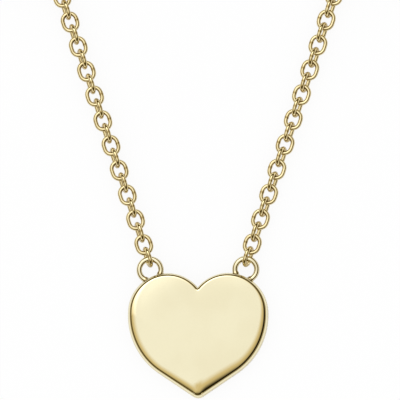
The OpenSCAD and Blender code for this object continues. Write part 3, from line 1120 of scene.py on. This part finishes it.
def floor_material(scene):
    """The table: a pale matt surface, mixed for the camera and for reflections with plain white,
    so that it shows white and keeps the soft shadow."""
    s = scene.necklace_stage
    material = bpy.data.materials.new("Table")
    material.use_nodes = True
    tree = material.node_tree
    tree.nodes.remove(tree.nodes["Principled BSDF"])
    matt = tree.nodes.new("ShaderNodeBsdfDiffuse")
    join(tree, matt, "Color", (*s.floor, 1))
    white = tree.nodes.new("ShaderNodeEmission")
    join(tree, white, "Color", (1, 1, 1, 1))
    join(tree, white, "Strength", 1.0)
    rays = tree.nodes.new("ShaderNodeLightPath")
    seen = sums(tree, "MAXIMUM", rays.outputs["Is Camera Ray"], rays.outputs["Is Transmission Ray"])
    seen = sums(tree, "MULTIPLY", seen, s.glow)
    seen = sums(
        tree, "MAXIMUM", seen, sums(tree, "MULTIPLY", rays.outputs["Is Glossy Ray"], s.mirrored)
    )
    mix = tree.nodes.new("ShaderNodeMixShader")
    join(tree, mix, 0, seen)
    join(tree, mix, 1, matt.outputs[0])
    join(tree, mix, 2, white.outputs[0])
    join(tree, tree.nodes["Material Output"], "Surface", mix.outputs[0])
    return material


def card_band(s):
    """Part of a sphere about the necklace, from just under the table up to 84 degrees, and its
    colours. Each column is a card at one bearing. Upwards it is dull amber at its foot, then
    dark, amber and white; CARD_HEIGHTS says from where. The dark is deepest to the lower right
    and brown elsewhere. A soft lamp with a brighter core stands past the neck."""
    bearing = np.linspace(-math.pi, math.pi, 145)[:-1]
    rise = np.radians(np.linspace(-4, 84, 89))
    flat = along(bearing)[None] * np.cos(rise)[:, None, None]
    up = np.broadcast_to(np.sin(rise)[:, None, None], (*flat.shape[:2], 1))
    points = np.concatenate([flat, up], -1) * s.tent_radius
    lower_right = (0.5 + 0.5 * np.cos(bearing + math.radians(35)))[None]
    high = np.degrees(rise)[:, None]
    dark = np.array(s.brown) + smooth((lower_right - 0.75) / 0.2)[..., None] * (
        np.array(s.dark) - np.array(s.brown)
    )
    low, first, second, third = (
        np.interp(np.degrees(bearing), CARD_BEARINGS, heights)[None] for heights in CARD_HEIGHTS
    )
    shade = dark + smooth((high - first) / (second - first))[..., None] * (np.array(s.amber) - dark)
    shade = shade + np.clip((high - second) / (third - second), 0, 1)[..., None] * (1 - shade)
    foot = FOOT_SHARE * np.array(s.amber)
    shade = shade + smooth((low - high) / FOOT_SOFT)[..., None] * (foot - shade)
    key_bearing = np.exp(-((np.degrees(bearing[None]) - LAMP_BEARING) / LAMP_SPREAD) ** 2)
    key = key_bearing * smooth((high - 42) / 8) * smooth((84 - high) / 14)
    core = CORE_GAIN * key_bearing * smooth((high - 38) / 6) * smooth((64 - high) / 6)
    shade = shade + s.key * key[..., None] + s.core * core[..., None]
    faces = grid(len(rise), len(bearing))
    return points.reshape(-1, 3), faces, shade.reshape(-1, 3)


class NECKLACE_OT_add_stage(bpy.types.Operator):
    """Adds the table, the white light all round and the cards that the gold reflects"""

    bl_idname = "necklace.add_stage"
    bl_label = "Stage"
    bl_options = {"REGISTER", "UNDO"}

    def execute(self, context):
        scene = context.scene
        s = scene.necklace_stage
        wide, low = 4.0, -0.00002
        table = bpy.data.meshes.new("table")
        corners = [(-wide, -wide, low), (wide, -wide, low), (wide, wide, low), (-wide, wide, low)]
        table.from_pydata(corners, [], [(0, 1, 2, 3)])
        table.materials.append(floor_material(scene))
        floor = bpy.data.objects.new("table", table)
        scene.collection.objects.link(floor)
        points, faces, shade = card_band(s)
        points = points + np.array([0, s.centre_y, 0])
        mesh = bpy.data.meshes.new("card_band")
        mesh.from_pydata(points.tolist(), [], faces)
        tone = mesh.attributes.new("shade", "FLOAT_COLOR", "POINT")
        tone.data.foreach_set("color", np.column_stack([shade, np.ones(len(shade))]).ravel())
        material = bpy.data.materials.new("Cards")
        material.use_nodes = True
        tree = material.node_tree
        tree.nodes.remove(tree.nodes["Principled BSDF"])
        card = tree.nodes.new("ShaderNodeEmission")
        colours = tree.nodes.new("ShaderNodeAttribute")
        colours.attribute_name = "shade"
        join(tree, card, "Color", colours.outputs["Color"])
        join(tree, tree.nodes["Material Output"], "Surface", card.outputs[0])
        mesh.materials.append(material)
        band = bpy.data.objects.new("card_band", mesh)
        scene.collection.objects.link(band)
        band.visible_camera = False
        band.visible_diffuse = False
        band.visible_shadow = False
        world = bpy.data.worlds.new("White tent")
        world.use_nodes = True
        background = world.node_tree.nodes["Background"]
        background.inputs["Color"].default_value = (1, 1, 1, 1)
        background.inputs["Strength"].default_value = 1.0
        scene.world = world
        scene.view_settings.view_transform = "Standard"
        return {"FINISHED"}


# ---------------------------------------------------------------- panel and registration


class NECKLACE_PT_panel(bpy.types.Panel):
    """Lists the necklace's pieces, sizes and colours in the sidebar"""

    bl_idname = "NECKLACE_PT_panel"
    bl_label = "Heart Pendant Necklace"
    bl_space_type = "VIEW_3D"
    bl_region_type = "UI"
    bl_category = "Necklace"

    def draw(self, context):
        for operator in OPERATORS:
            self.layout.operator(operator.bl_idname)
        for name, group in GROUPS.items():
            box = self.layout.box()
            box.label(text=group.__doc__)
            for prop in group.__annotations__:
                box.prop(getattr(context.scene, name), prop)


OPERATORS = (
    NECKLACE_OT_set_camera,
    NECKLACE_OT_add_clasp,
    NECKLACE_OT_add_wound_chain,
    NECKLACE_OT_add_heart,
    NECKLACE_OT_add_rings,
    NECKLACE_OT_add_links,
    NECKLACE_OT_add_stage,
)
CLASSES = (*GROUPS.values(), *OPERATORS, NECKLACE_PT_panel)


def register():
    for cls in CLASSES:
        bpy.utils.register_class(cls)
    for name, group in GROUPS.items():
        setattr(bpy.types.Scene, name, bpy.props.PointerProperty(type=group))


def unregister():
    for name in GROUPS:
        delattr(bpy.types.Scene, name)
    for cls in reversed(CLASSES):
        bpy.utils.unregister_class(cls)


def main():
    """Registers the classes and builds every piece through its operator."""
    register()
    bpy.ops.necklace.set_camera()
    bpy.ops.necklace.add_clasp()
    bpy.ops.necklace.add_wound_chain()
    bpy.ops.necklace.add_heart()
    bpy.ops.necklace.add_rings()
    bpy.ops.necklace.add_links()
    bpy.ops.necklace.add_stage()


if __name__ == "__main__":
    main()
